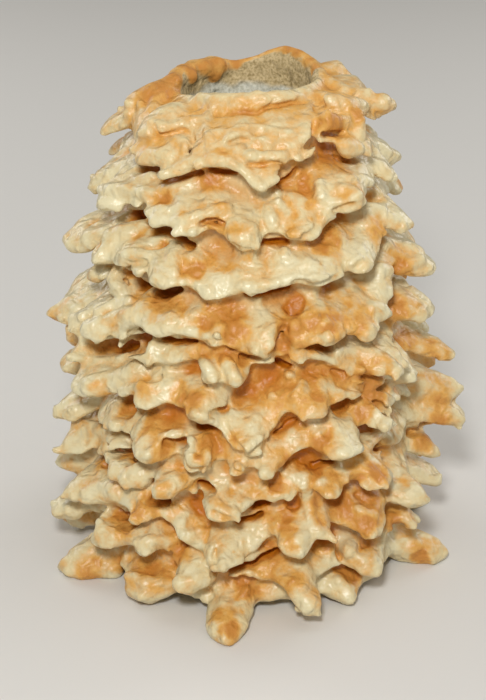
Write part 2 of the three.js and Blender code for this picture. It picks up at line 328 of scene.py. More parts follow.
def block_between(lowest, highest, origin, spare):
    """The cells between two places, with some to spare, and how far they lie from the origin each way."""
    low = np.floor(lowest / CELL).astype(int) - first_cell
    high = np.ceil(highest / CELL).astype(int) - first_cell + spare
    block = tuple(slice(max(a, 0), min(b, count)) for a, b, count in zip(low, high, cells))
    x = cell_x[block[0]][:, None, None] - origin[0]
    y = cell_y[block[1]][None, :, None] - origin[1]
    z = cell_z[block[2]][None, None, :] - origin[2]
    return block, x, y, z


def toasted_field():
    """How toasted the batter is near each of these places of its surface, from 0 to 1."""
    spots = [(seen_at(column, row), radius) for column, row, radius in TOASTED]
    for turn, spot_height, radius in zip(unseen_turns, unseen_heights, unseen_radii):
        inward = np.array([-math.sin(turn), math.cos(turn), 0.0])
        outer = np.array([*AXIS, spot_height]) - OUTER_REACH * inward
        spots.append((first_met(outer, inward, np.arange(0.0, OUTER_REACH - INNER_REACH)), radius))
    field = np.zeros(cells, np.float32)
    for spot, radius in spots:
        block, x, y, z = block_between(spot - SPOT_REACH * radius, spot + SPOT_REACH * radius, spot, 0)
        toast = np.exp(-SPOT_FADE * (x * x + y * y + z * z) / radius**2)
        field[block] = np.maximum(field[block], toast)
    return field


browned = toasted_field()
edge = blurred(distance, EDGE_RADIUS)
cover = COVER_LEVEL + COVER_CHANGE * np.clip(edge, *EDGE_LIMITS)
for size, seed in COVER_LUMPS:
    cover += COVER_CHANGE * lumps(size, seed)
for breadth, thickness, seed in THIN_COATS:
    spread = SPREAD_LEVEL + EDGE_HOLDS * np.clip(edge, *EDGE_LIMITS) - TOAST_LACKS * browned
    ridged = RIDGE_HOLDS * ridges(breadth, 2.0 * breadth, seed)
    spread += ridged + LUMP_HOLDS * lumps(LUMP_SIZE * breadth, seed + 10)
    coated = smooth_step(spread, -SHARP, SHARP)
    coated += collar * (COMMON_SHARE - coated)
    distance -= outside * thickness * coated
    cover += COAT_COVERS * (coated - COMMON_SHARE)
cover += COLLAR_EVEN * collar * (COLLAR_COVER - cover)
cover -= LOWER_LACKS * (1.0 - smooth_step(cell_z, *LOWER_PART))[None, None, :]

# Runs of batter: each ladleful runs outwards over the coats that have set until it hangs at an edge, so the
# rows are ropy with runs that lie over each other, with a crease between them.
RUNS = 360
RUN_STEPS = 3
RUN_STEP = 8.0
RUN_BLEND = 1.0
RUN_ASIDE = 0.6  # how far a run may turn from straight out
START_RADII, END_RADII = (1.8, 3.0), (2.4, 4.2)
START_RISES, END_RISES = (0.3, 1.0), (0.7, 1.6)  # how far it stands out of the coat that it lies on
FACING_UP = 0.15
FACING_DOWN = -0.2
EDGE_SHIFT = 1.5  # makes the edge field a weight for draws, between these limits
EDGE_WEIGHTS = (0.1, 2.0)
CRUST_FROM = 70.0  # from the axis
FOOT_CLEAR = 8.0


def outward_at(places):
    """The directions that point straight out of the batter at these places."""
    rises = [sampled(distance, places + step) - sampled(distance, places - step) for step in 2.0 * np.eye(3)]
    slopes = np.stack(rises, axis=1)
    return slopes / np.maximum(np.linalg.norm(slopes, axis=1, keepdims=True), 1e-6)


def lay(start, end, start_radius, end_radius, blend, dig=False):
    """Lay a round-ended run of batter between two points on the field, or dig one out of it."""
    margin = max(start_radius, end_radius) + 2 * blend + CELL
    block, x, y, z = block_between(np.minimum(start, end) - margin, np.maximum(start, end) + margin, start, 1)
    run = end - start
    along = np.clip((x * run[0] + y * run[1] + z * run[2]) / max(run @ run, 1e-6), 0.0, 1.0)
    away = np.sqrt((x - along * run[0]) ** 2 + (y - along * run[1]) ** 2 + (z - along * run[2]) ** 2)
    away = (away - start_radius - along * (end_radius - start_radius)).astype(np.float32)
    if dig:
        distance[block] = -smooth_union(-distance[block], away, blend)
    else:
        distance[block] = smooth_union(distance[block], away, blend)


def crust_cells():
    """The cells on the surface outside the hole, their places, and the directions out of the batter there."""
    chosen = (reach > CRUST_FROM)[:, :, None] & (cell_z > FOOT_CLEAR)[None, None, :]
    chosen = chosen & (np.abs(distance) < 0.5 * CELL)
    places = (np.argwhere(chosen) + first_cell) * CELL
    return chosen, places, outward_at(places)


def drawn_places(count, weights):
    """Places on the surface drawn by weight, and the directions out of it there."""
    chosen = draw.choice(len(surface_places), count, replace=False, p=weights / weights.sum())
    return surface_places[chosen], surface_outward[chosen]


at_surface, surface_places, surface_outward = crust_cells()
on_top = (surface_outward[:, 2] > FACING_UP) * (surface_places[:, 2] < COLLAR_FROM)
near_edges = np.clip(EDGE_SHIFT + blurred(distance, EDGE_RADIUS)[at_surface], *EDGE_WEIGHTS)
stops = [drawn_places(RUNS, on_top * near_edges)]
aside = draw.uniform(-RUN_ASIDE, RUN_ASIDE, (RUNS, 1))
for step in range(RUN_STEPS):
    spots, outward = stops[-1]
    radial = np.column_stack([spots[:, :2] - AXIS, np.zeros(RUNS)])
    radial /= np.linalg.norm(radial, axis=1, keepdims=True)
    along = radial - np.sum(radial * outward, axis=1, keepdims=True) * outward
    along += aside * np.cross(outward, radial)
    along /= np.linalg.norm(along, axis=1, keepdims=True)
    moved = spots + RUN_STEP * along
    moved -= sampled(distance, moved)[:, None] * outward_at(moved)
    moved = np.where(outward[:, 2:] < FACING_DOWN, spots, moved)
    stops.append((moved, outward_at(moved)))
run_radii = np.linspace(draw.uniform(*START_RADII, RUNS), draw.uniform(*END_RADII, RUNS), RUN_STEPS + 1)
run_rises = np.linspace(draw.uniform(*START_RISES, RUNS), draw.uniform(*END_RISES, RUNS), RUN_STEPS + 1)
run_depths = run_radii - run_rises
for run in range(RUNS):
    middles = [spots[run] - depths[run] * outward[run] for (spots, outward), depths in zip(stops, run_depths)]
    for step in range(RUN_STEPS):
        lay(middles[step], middles[step + 1], run_radii[step, run], run_radii[step + 1, run], RUN_BLEND)

# The folds, knobs and curls on the cake's front: where the batter fell on itself and set. Each was read off
# the photo, as its radius and how far it stands out in millimetres, and the pixels that it runs through.
# A negative stand-out is a pit of that depth.
COLLAR_FOLDS = (
    (4.0, 4.0, (162, 95), (153, 110), (150, 119)),
    (4.5, 4.5, (152, 124), (162, 130), (174, 126), (186, 123), (200, 121)),
    (6.0, 4.0, (172, 142), (183, 141)),
    (7.0, 5.0, (168, 153), (152, 157), (142, 160)),
    (4.5, 4.5, (150, 133), (135, 139), (126, 140)),
    (3.5, 4.5, (130, 104)),
    (3.5, 4.5, (128, 115)),
    (3.5, 4.0, (141, 105)),
    (5.0, 5.0, (163, 176), (178, 170), (192, 164), (208, 161), (224, 161), (236, 165)),
    (4.5, 4.5, (244, 170), (254, 182), (262, 188)),
    (4.5, 4.0, (268, 183), (284, 174), (298, 160), (312, 147)),
    (4.5, 3.5, (200, 97), (235, 99), (270, 97), (292, 95)),
    (3.2, 3.0, (214, 108), (240, 107), (262, 105), (285, 99), (308, 95)),
    (3.2, 3.2, (212, 134), (235, 131), (255, 128), (272, 130), (288, 134)),
    (3.0, 3.2, (226, 139), (237, 135), (247, 137)),
    (4.0, 3.0, (255, 142), (264, 142)),
    (5.5, 5.0, (249, 156), (264, 157), (282, 157)),
    (3.5, 3.0, (207, 112), (206, 128), (210, 142)),
    (6.0, 2.7, (317, 66), (327, 77), (340, 88)),
    (6.5, 6.0, (345, 93), (365, 98), (380, 103)),
    (6.0, 5.5, (330, 101), (348, 104), (362, 107)),
    (6.0, 6.0, (326, 122), (344, 122)),
    (7.0, 6.0, (337, 147), (356, 149)),
    (4.0, 4.0, (357, 114), (360, 124), (360, 136)),
    (4.5, 4.5, (297, 172), (306, 165), (312, 157)),
)
UPPER_FOLDS = (
    (4.5, 3.8, (128, 186), (145, 178), (158, 173)),
    (5.0, 3.8, (102, 188), (130, 190), (150, 196)),
    (5.0, 3.8, (102, 204), (128, 208), (150, 214)),
    (3.5, 3.0, (165, 186), (185, 187), (205, 184)),
    (5.0, -3.5, (152, 198), (170, 200)),
    (4.5, 3.8, (156, 222), (185, 220), (215, 212), (228, 206)),
    (11.0, 7.0, (240, 228), (245, 236)),
    (5.0, 3.0, (232, 238)),
    (4.0, 3.0, (254, 228)),
    (5.0, 4.5, (268, 210), (273, 226)),
    (4.0, 3.0, (270, 233), (290, 235), (312, 230), (324, 214)),
    (6.0, 3.1, (292, 195), (302, 203)),
    (3.5, 4.2, (278, 193)),
    (3.5, 4.2, (278, 203)),
    (4.0, 4.5, (320, 185), (322, 196)),
    (8.0, 3.1, (340, 190), (352, 194)),
    (4.0, 3.8, (330, 204), (345, 202), (357, 197)),
    (6.0, 3.1, (345, 178), (378, 183)),
    (9.0, 5.5, (90, 238), (120, 232), (145, 228)),
    (9.0, 3.5, (333, 229), (336, 238)),
    (4.0, 3.8, (120, 257), (135, 251), (148, 257)),
    (4.0, -3.0, (152, 248), (166, 245)),
    (7.0, 2.3, (175, 255)),
    (6.0, 2.3, (192, 258)),
    (4.0, 3.0, (156, 279), (168, 284), (185, 282), (200, 286)),
    (6.0, 3.1, (208, 291)),
    (4.0, 3.0, (240, 286), (252, 288), (268, 284), (290, 280), (310, 278), (330, 279), (345, 270),
     (358, 260)),
    (5.0, 4.5, (283, 252)),
    (8.0, 4.5, (374, 240), (400, 245), (416, 251)),
    (5.0, 4.5, (372, 269), (400, 271), (418, 261)),
)
MIDDLE_FOLDS = (
    (6.0, 3.1, (96, 276)),
    (5.0, 6.0, (108, 274)),
    (5.0, 4.5, (106, 290), (130, 294)),
    (5.0, 4.5, (66, 319), (90, 316), (110, 307), (130, 302)),
    (8.0, 5.0, (82, 331), (110, 322), (130, 315)),
    (4.0, 4.5, (98, 339), (125, 335)),
    (8.0, 2.3, (156, 329), (170, 322), (190, 315), (205, 310)),
    (5.0, -2.5, (209, 327)),
    (8.0, -5.0, (293, 308)),
    (2.5, 3.0, (296, 305)),
    (2.5, 3.0, (311, 310)),
    (3.0, 3.0, (272, 330), (278, 323), (292, 322), (300, 330), (285, 338)),
    (4.0, 3.0, (216, 338), (245, 350), (268, 355), (285, 348), (300, 346), (312, 340)),
    (5.0, 6.0, (328, 338)),
    (7.0, 3.1, (352, 325), (367, 330)),
    (7.0, 4.5, (374, 308), (400, 311), (420, 317)),
    (8.0, 3.1, (150, 348)),
    (5.0, 4.5, (120, 358), (138, 352)),
    (9.0, 6.0, (92, 388), (120, 378), (145, 368)),
    (5.0, 4.5, (125, 392), (150, 384)),
    (5.0, 6.0, (205, 362), (212, 376)),
    (4.5, 5.4, (225, 360), (237, 380)),
    (4.0, 4.5, (286, 364)),
    (5.0, 6.0, (291, 376)),
    (3.5, 4.2, (295, 398), (302, 385)),
    (5.5, 2.3, (335, 352), (365, 347), (390, 361), (397, 374), (385, 384), (362, 382)),
    (4.0, 4.5, (360, 371)),
    (4.0, 3.8, (333, 400), (345, 391), (375, 396), (391, 400), (394, 409)),
    (4.0, 3.3, (196, 414), (207, 419), (224, 424), (233, 440), (245, 450), (258, 444), (270, 432), (285, 426),
     (305, 416)),
)
LOWER_FOLDS = (
    (7.0, 4.5, (78, 425), (100, 430), (130, 440)),
    (4.5, 3.8, (112, 440), (128, 450), (148, 457), (157, 444)),
    (4.0, 4.5, (188, 440), (190, 460), (197, 465), (207, 457), (206, 440)),
    (4.5, 4.5, (165, 438), (180, 434)),
    (6.0, 2.3, (322, 412), (335, 430), (350, 446)),
    (4.0, 3.8, (333, 456), (350, 453), (368, 446), (384, 431), (389, 419)),
    (5.0, 4.5, (265, 474)),
    (5.0, 4.5, (238, 470)),
    (6.0, 2.3, (110, 456), (98, 472), (108, 479)),
    (4.0, -3.0, (106, 465)),
    (10.0, 6.0, (88, 497), (110, 490), (135, 475)),
    (4.0, 3.0, (84, 503), (100, 510), (125, 518)),
    (8.0, 6.0, (200, 475), (175, 485), (152, 494)),
    (6.0, -4.0, (203, 490)),
    (4.5, 3.8, (213, 503), (225, 514), (245, 515), (262, 506), (275, 499)),
    (5.0, 4.5, (303, 470), (306, 490), (312, 520), (317, 534)),
    (4.0, 4.5, (342, 495), (352, 506), (371, 518), (378, 500)),
    (7.0, 4.0, (68, 510), (85, 519), (100, 517)),
    (4.0, 4.8, (133, 520), (132, 534)),
    (4.5, 3.8, (139, 543), (160, 540), (176, 538), (200, 530)),
    (6.0, 3.1, (102, 530)),
    (8.0, 4.5, (118, 540), (135, 536)),
    (4.5, 3.8, (216, 568), (240, 560), (270, 550), (290, 543), (305, 536)),
    (11.0, 5.0, (362, 486), (370, 496)),
    (3.5, 3.5, (344, 476), (358, 470), (376, 474), (386, 486)),
    (3.5, 3.5, (348, 492), (362, 484), (378, 492)),
    (3.0, 3.0, (205, 600)),
    (3.0, 3.0, (218, 590)),
    (2.5, 2.5, (232, 586)),
    (2.5, 2.5, (212, 584)),
    (3.0, 3.0, (246, 590)),
    (2.5, 2.5, (224, 604)),
    (9.0, 5.5, (330, 548)),
    (7.0, 3.9, (352, 548)),
    (6.0, 3.1, (340, 580)),
    (7.0, 4.0, (82, 574), (100, 571), (115, 574)),
    (5.0, 4.5, (130, 578), (150, 583), (168, 584)),
    (7.0, 4.5, (180, 583), (200, 581), (211, 573)),
    (8.0, 5.0, (280, 575), (300, 590)),
)
FOLD_BLEND = 1.2
FOLD_RADII = (0.75, 1.2)  # shares of the radius that was read
WAVER_STEP = 9.0  # pixels of the photo, and so is the next
WAVER = 0.8
JUMP = 13.0  # in millimetres: neighbours on a line that are further apart lie on different rows


def wavering(pixels):
    """More pixels on the line through these, each a little off it."""
    columns, rows = np.transpose(pixels).astype(float)
    along = np.append(0.0, np.cumsum(np.hypot(np.diff(columns), np.diff(rows))))
    stops = np.linspace(0.0, along[-1], int(along[-1] / WAVER_STEP) + 2)
    line = np.column_stack([np.interp(stops, along, columns), np.interp(stops, along, rows)])
    return line + draw.normal(0.0, WAVER, line.shape)


def joined(spots):
    """The steps of a line that stay on one row of the batter."""
    return np.flatnonzero(np.linalg.norm(np.diff(spots, axis=0), axis=1) < JUMP)


for radius, stand_out, *pixels in COLLAR_FOLDS + UPPER_FOLDS + MIDDLE_FOLDS + LOWER_FOLDS:
    spots = np.array([seen_at(*pixel) for pixel in wavering(pixels)])
    radii = radius * draw.uniform(*FOLD_RADII, len(spots))
    inwards = math.copysign(1.0, stand_out) * (radii - abs(stand_out))
    middles = spots - inwards[:, None] * outward_at(spots)
    for step in joined(spots):
        lay(middles[step], middles[step + 1], radii[step], radii[step + 1], FOLD_BLEND, dig=stand_out < 0.0)

# The rim: a thick roll at the back on the left, where the batter pulled off the spit in two sags, and a thin
# wall that rises to a peak at the back on the right. The crests are given by degrees round the cake, for the
# roll also by the distance from the spit's axis, and by their heights.
ROLL_CREST = (
    (-86, 76.0, 341.0), (-88, 68.0, 348.0), (-88, 60.0, 355.5), (-92, 53.0, 358.5), (-106, 52.0, 359.0),
    (-130, 52.0, 359.0), (-149, 52.0, 358.5), (-160, 51.0, 356.0),
)
ROLL_RADIUS = 6.5
ROLL_REACH = 52.0
SAGS = ((-115, 351.5, 6.0), (-146, 348.0, 6.5))  # the last value is the radius
SAG_REACH = 46.5
SAG_DROP = 2.0
WALL_CREST = (
    (-164, 354.0), (-172, 353.5), (-188, 358.0), (-195, 362.0), (-210, 367.0), (-225, 366.0), (-240, 363.0),
    (-258, 360.0),
)
WALL_STEP = 3.0  # degrees
WALL_REACH = 50.5
WALL_RADIUS = 2.6
WALL_DEPTH = 14.0  # down to where the wall is twice as thick
WALL_LEAN = 2.0
RIM_BLEND = 2.5


def round_the_axis(degrees, away, at_height):
    """A point this far from the spit's axis, in millimetres."""
    turn = math.radians(degrees)
    return np.array([AXIS[0] + away * math.sin(turn), AXIS[1] - away * math.cos(turn), at_height])


roll = [round_the_axis(degrees, away, crest - ROLL_RADIUS) for degrees, away, crest in ROLL_CREST]
for start, end in zip(roll, roll[1:]):
    lay(start, end, ROLL_RADIUS, ROLL_RADIUS, RIM_BLEND)
for degrees, middle, radius in SAGS:
    start = round_the_axis(degrees, ROLL_REACH, middle + SAG_DROP)
    lay(start, round_the_axis(degrees, SAG_REACH, middle), radius, radius, RIM_BLEND)
for degrees in np.arange(WALL_CREST[0][0], WALL_CREST[-1][0], -WALL_STEP):
    crest = np.interp(-degrees, *np.transpose([(-turn, crest) for turn, crest in WALL_CREST]))
    top = round_the_axis(degrees, WALL_REACH, crest - WALL_RADIUS)
    bottom = round_the_axis(degrees, WALL_REACH + WALL_LEAN, crest - WALL_DEPTH)
    lay(top, bottom, WALL_RADIUS, 2.0 * WALL_RADIUS, RIM_BLEND)

# The thin lower edges of the rows, where the batter hung as it set, and the gaps under them on the cake's
# front. The gaps were read off the photo: half their height and how far they go in, in millimetres, and the
# pixels that they run through.
EDGE_CUT = (0.8, 1)  # outwards in millimetres, and up in cells
SWELLING = 0.5  # of the edge field, from which a place is too far out for a narrow gap
NARROW = 3.2
CREASE_DEPTH = 3.0
SHALLOW = 6.0  # a gap that goes in no further than this is a crease, and may lie on a swelling
GAP_STEP = 0.8  # how far apart the digs into a gap are, as a share of half its height
GAP_START = 0.5  # how far outside the first of them lies, likewise
GAP_BLEND = 0.8
COATS_BETWEEN = 1.5  # that the last coats add between the rows
GAPS = (
    (4.0, 9.0, (112, 146), (135, 149)),
    (3.0, 12.0, (138, 168), (156, 168)),
    (2.0, 8.0, (160, 182), (180, 178), (200, 173)),
    (2.0, 8.0, (210, 171), (232, 171), (246, 178), (253, 188), (262, 194)),
    (1.6, 6.0, (270, 188), (285, 180), (296, 170)),
    (2.4, 6.0, (324, 96), (320, 110), (318, 125), (317, 140)),
    (1.8, 6.0, (316, 142), (306, 151), (298, 162)),
    (2.0, 9.0, (324, 135), (345, 134)),
    (2.0, 9.0, (330, 113), (350, 115)),
    (2.0, 9.0, (340, 160), (355, 161)),
    (1.4, 3.0, (214, 115), (236, 113), (258, 112), (272, 107), (290, 104), (306, 101)),
    (1.5, 4.0, (228, 145), (237, 141), (247, 142)),
    (1.5, 4.0, (248, 165), (264, 166), (282, 164)),
    (1.5, 3.0, (246, 149), (264, 149), (284, 149)),
    (1.5, 4.0, (148, 114), (150, 126), (160, 137), (172, 134), (182, 131)),
    (1.5, 4.0, (184, 131), (192, 137), (193, 145), (188, 152)),
    (4.0, 20.0, (98, 214), (115, 216), (138, 217)),
    (3.0, 14.0, (152, 230), (165, 232), (180, 238), (190, 247)),
    (2.0, 8.0, (200, 223), (215, 222), (222, 226)),
    (2.5, 9.0, (224, 234), (230, 246), (245, 254), (258, 250)),
    (2.0, 8.0, (262, 243), (280, 242), (300, 239), (315, 232), (320, 215)),
    (4.0, 8.0, (360, 195), (382, 199)),
    (3.0, 12.0, (336, 212), (352, 207)),
    (2.0, 8.0, (110, 262), (125, 266), (145, 262)),
    (3.5, 16.0, (115, 276), (130, 282), (150, 291), (165, 295), (178, 290)),
    (1.8, 6.0, (200, 297), (212, 298)),
    (2.2, 9.0, (238, 290), (250, 297), (262, 293), (285, 287), (300, 284), (320, 286), (338, 280)),
    (3.0, 12.0, (345, 268), (352, 273), (362, 265)),
    (2.5, 12.0, (390, 283), (410, 283)),
    (6.0, 25.0, (82, 348), (100, 350), (120, 347), (138, 347)),
    (2.0, 10.0, (160, 340), (180, 343), (200, 342), (218, 343), (230, 343)),
    (1.8, 8.0, (240, 356), (262, 361), (278, 357)),
    (4.0, 14.0, (310, 345), (322, 349), (332, 351)),
    (1.5, 7.0, (345, 333), (352, 340), (365, 342)),
    (4.0, 18.0, (380, 325), (400, 328), (415, 326)),
    (2.5, 10.0, (270, 362), (280, 360), (290, 368)),
    (2.6, 12.0, (345, 386), (365, 388), (385, 391), (400, 386)),
    (3.0, 8.0, (147, 376), (157, 377)),
    (3.5, 16.0, (100, 405), (120, 405), (140, 400)),
    (3.5, 18.0, (88, 415), (110, 416), (130, 414)),
    (3.0, 10.0, (214, 415), (225, 413)),
    (2.2, 9.0, (222, 420), (228, 432), (235, 445), (245, 456), (258, 450), (268, 440)),
    (1.6, 7.0, (275, 434), (290, 425), (305, 418)),
    (4.0, 14.0, (385, 410), (395, 416)),
    (2.5, 12.0, (395, 435), (410, 434), (435, 428)),
    (4.0, 18.0, (108, 448), (120, 455), (138, 462), (150, 462)),
    (2.5, 10.0, (155, 457), (165, 460)),
    (3.0, 12.0, (165, 443), (178, 443), (186, 446)),
    (3.0, 12.0, (200, 427), (212, 426)),
    (1.6, 7.0, (183, 462), (190, 470), (205, 469), (220, 470)),
    (2.2, 10.0, (300, 466), (320, 467), (345, 459), (370, 452), (388, 441)),
    (1.6, 7.0, (228, 468), (240, 475), (255, 474)),
    (2.5, 9.0, (200, 482), (210, 487), (213, 492)),
    (4.0, 18.0, (88, 512), (105, 516), (120, 521), (130, 527)),
    (3.0, 14.0, (150, 502), (165, 504)),
    (2.0, 9.0, (213, 514), (225, 520), (245, 521), (262, 514)),
    (3.0, 10.0, (256, 505), (268, 502)),
    (3.0, 12.0, (330, 505), (332, 497)),
    (1.8, 8.0, (335, 515), (345, 528), (358, 533)),
    (3.0, 14.0, (383, 515), (400, 508)),
    (3.0, 14.0, (380, 535), (385, 530)),
    (3.0, 14.0, (103, 549), (120, 551)),
    (3.0, 14.0, (125, 548), (140, 552)),
    (4.5, 14.0, (165, 553), (180, 549), (186, 553)),
    (3.0, 10.0, (172, 575), (172, 585)),
    (1.5, 6.0, (213, 553), (216, 565)),
    (3.0, 14.0, (215, 574), (235, 570), (260, 560), (276, 554)),
    (2.5, 10.0, (310, 543), (325, 543)),
    (2.0, 8.0, (340, 548), (343, 560)),
)
distance = undercut(distance, *EDGE_CUT)
distance = smooth_union(distance, envelope + fill_depth - COATS_BETWEEN, FILL_BLEND)
edge = blurred(distance, EDGE_RADIUS)
gap_lines = [np.array([seen_at(*pixel) for pixel in wavering(pixels)]) for _, _, *pixels in GAPS]
for (radius, depth, *_), spots in zip(GAPS, gap_lines):
    inwards = np.column_stack([AXIS - spots[:, :2], np.zeros(len(spots))])
    inwards /= np.linalg.norm(inwards, axis=1, keepdims=True)
    sunk = (sampled(edge, spots) < SWELLING) | (radius > NARROW) | (depth <= SHALLOW)
    sunk &= np.append(sunk[1:], False) | np.append(False, sunk[:-1])
    depths = np.where(sunk, depth, CREASE_DEPTH)
    steps = joined(spots)
    steps = steps[np.isin(steps - 1, steps) | np.isin(steps + 1, steps)]
    for share in np.arange(0.0, 1.0, GAP_STEP * radius / depth):
        middles = spots + (share * depths - GAP_START * radius)[:, None] * inwards
        for step in steps:
            lay(middles[step], middles[step + 1], radius, radius, GAP_BLEND, dig=True)

# Nubs and beads: the last drops of batter, which ran to the edges of the rows and set there before they could
# fall. Nubs point outwards and hang a little, and beads are nearly round.
NUBS = 60
NUB_RADII = (2.4, 4.0)
NUB_LENGTHS = (3.0, 6.0)
NUB_ASIDE = 0.7
NUB_SLOPES = (-0.5, 0.1)
NUB_TAPER = 0.75
NUB_BLEND = 2.0
BEADS = 140
BEAD_RADII = (1.8, 3.2)
BEAD_LENGTH = 1.5
BEAD_TAPER = 0.8
BEAD_BLEND = 1.6
EDGE_FROM, EDGE_MOST = 0.8, 2.0  # of the edge field: where drops start to hang, and the most that counts
LAST_ROUNDING = 0.9
at_surface, surface_places, surface_outward = crust_cells()
on_edge = np.clip(blurred(distance, EDGE_RADIUS)[at_surface] - EDGE_FROM, 0.0, EDGE_MOST)
for spot, outward in zip(*drawn_places(NUBS, on_edge)):
    radius = draw.uniform(*NUB_RADII)
    turn = draw.uniform(-NUB_ASIDE, NUB_ASIDE)
    slope = draw.uniform(*NUB_SLOPES)
    run = np.array([outward[0] + turn * outward[1], outward[1] - turn * outward[0], slope])
    start = spot - outward * radius
    lay(start, start + draw.uniform(*NUB_LENGTHS) * run, radius, NUB_TAPER * radius, NUB_BLEND)
for spot in drawn_places(BEADS, on_edge)[0]:
    radius = draw.uniform(*BEAD_RADII)
    lay(spot, spot + draw.uniform(-BEAD_LENGTH, BEAD_LENGTH, 3), radius, BEAD_TAPER * radius, BEAD_BLEND)
distance = blurred(distance, LAST_ROUNDING)

# The foot: the cake is cut level when it comes off the spit, so that it stands. Nothing of the set batter is
# left below the cut.
distance = np.maximum(distance, -cell_z[None, None, :])

# The crust: the outside of the set batter and the wall of its hole, as one closed mesh out of the field. Only
# the largest part of the mesh is kept, so there are no loose crumbs and no sealed pores.
FACE_LIMIT = 196000
points, quads = surface_of(distance)
raw = bpy.data.meshes.new("raw_crust")
raw.from_pydata((points / MM_PER_M).tolist(), [], quads.tolist())
cake = bpy.data.objects.new("spit_cake_crust", raw)
bpy.context.scene.collection.objects.link(cake)
thinned = cake.modifiers.new("thinned", "DECIMATE")
thinned.ratio = FACE_LIMIT / (2 * len(quads))
thin = bpy.data.meshes.new_from_object(cake.evaluated_get(bpy.context.evaluated_depsgraph_get()))
places, triangles = points_and_triangles(thin)
part_of = np.arange(len(places))
settled = False
while not settled:
    lowest = part_of.copy()
    np.minimum.at(lowest, triangles, part_of[triangles].min(axis=1, keepdims=True))
    lowest = lowest[lowest]
    settled = np.array_equal(lowest, part_of)
    part_of = lowest
whole = part_of == np.bincount(part_of).argmax()
places = places[whole]
triangles = (np.cumsum(whole) - 1)[triangles[whole[triangles[:, 0]]]]
crust = bpy.data.meshes.new("baked_batter_crust")
crust.from_pydata(places.tolist(), [], triangles.tolist())
cake.modifiers.clear()
cake.data = crust
bpy.data.meshes.remove(raw)
bpy.data.meshes.remove(thin)
crust.shade_smooth()

# What the fire and the last coat left at each point of the crust, for its material: how well the last coat
# covers it, how browned it is, and whether it is the hole's wall; and how far it stands out in the open air,
# which sets where shade is painted deep in the gaps.
COARSE = 3
OPEN_RADIUS = 12.0
HOLE_RADII = (54.0, 46.0)  # at the foot and at the top
HOLE_TOP = 357.0
WALL_SKIN = (0.8, 3.0)  # millimetres outside these radii: all wall, and no more wall
TOAST_BARES = 1.2
EDGE_COVERS = 0.15
places = places * MM_PER_M
browned = toasted_field()
edge = blurred(distance, EDGE_RADIUS)
open_air = blurred(np.ascontiguousarray(distance[::COARSE, ::COARSE, ::COARSE]), OPEN_RADIUS, COARSE * CELL)
wall_depth = np.hypot(places[:, 0] - AXIS[0], places[:, 1] - AXIS[1])
wall_depth -= np.interp(places[:, 2], [0.0, HOLE_TOP], HOLE_RADII)
for name, values in (
    ("cover", sampled(cover - TOAST_BARES * browned + EDGE_COVERS * np.clip(edge, *EDGE_LIMITS), places)),
    ("open_air", sampled(open_air, places, COARSE * CELL) / OPEN_RADIUS),
    ("browned", sampled(browned, places)),
    ("hole_wall", 1.0 - smooth_step(wall_depth, *WALL_SKIN)),
):
    crust.attributes.new(name, "FLOAT", "POINT").data.foreach_set("value", values.astype(np.float32))

# The batter's surface: the last coat is cream and glossy, and tanned where it is thin. The older coats under
# it are toasted amber, duller and grainy. Deep in the gaps, where little open air reaches, shade is painted
# into the colour as a darker, more saturated amber. The hole's wall was against the spit, which left it dull:
# pale below and sandy by the rim.
CREAM_TO_TOASTED = (
    (0.0, "#DED3AC"), (0.28, "#DAC594"), (0.48, "#D9B57C"), (0.7, "#D8A454"), (1.0, "#C28236"),
)
# Painted shade: the darker, more saturated amber that stands in for the shadow deep in the gaps.
PAINTED_SHADE_IN_GAPS = ((0.0, "#D0922C"), (0.7, "#B76A08"))
PALE_WALL = ((0.35, "#BDBBA8"), (0.6, "#D8D6C6"))
SANDY_WALL = ((0.35, "#A08A5C"), (0.6, "#CBB588"))
PATCH_SIZE = 24.0  # in millimetres, like the sizes and heights below
MOTTLE_SIZE = 7.0
GRAIN_SIZE = 1.8
RIPPLE_SIZE = 9.0
RELIEF_HEIGHT = 4.0
RELIEF_STRENGTH = 0.8
SANDY_FROM, SANDY_WHOLE = 346.0, 352.0
SANDY_UNEVEN = 20.0
BARE_LEVEL = -1.35  # how bare of the last coat a place is, and from where to where that counts
BARE_FROM, BARE_WHOLE = -1.2, 1.1
SHADE_FROM, SHADE_WHOLE = 0.0, -0.5
WALL_FROM, WALL_WHOLE = 0.2, 0.6
WALL_TOASTED = -1.2  # what toast takes from the wall's own look
LEAST_ROUGHNESS = 0.26
SUM = {"operation": "MULTIPLY_ADD"}
STEP = {"interpolation_type": "SMOOTHSTEP"}
COLOURS = {"data_type": "RGBA"}
batter = bpy.data.materials.new("egg batter, poured and set by the fire")
batter.use_nodes = True
tree = batter.node_tree
shader = tree.nodes["Principled BSDF"]


def linear(code):
    """An sRGB hex colour as linear RGBA."""
    parts = [int(code[i:i + 2], 16) / 255 for i in (1, 3, 5)]
    return [p / 12.92 if p <= 0.04045 else ((p + 0.055) / 1.055) ** 2.4 for p in parts] + [1.0]


def add(kind, settings=None, inputs=None, stops=(), output=0):
    """One output of a new node with its settings, its inputs set or linked, and its colour stops, if any."""
    node = tree.nodes.new(kind)
    for name, value in (settings or {}).items():
        setattr(node, name, value)
    for name, value in (inputs or {}).items():
        if isinstance(value, bpy.types.NodeSocket):
            tree.links.new(value, node.inputs[name])
        else:
            node.inputs[name].default_value = value
    for _ in stops[2:]:
        node.color_ramp.elements.new(1.0)
    for number, (position, code) in enumerate(stops):
        node.color_ramp.elements[number].position = position
        node.color_ramp.elements[number].color = linear(code)
    return node.outputs[output]


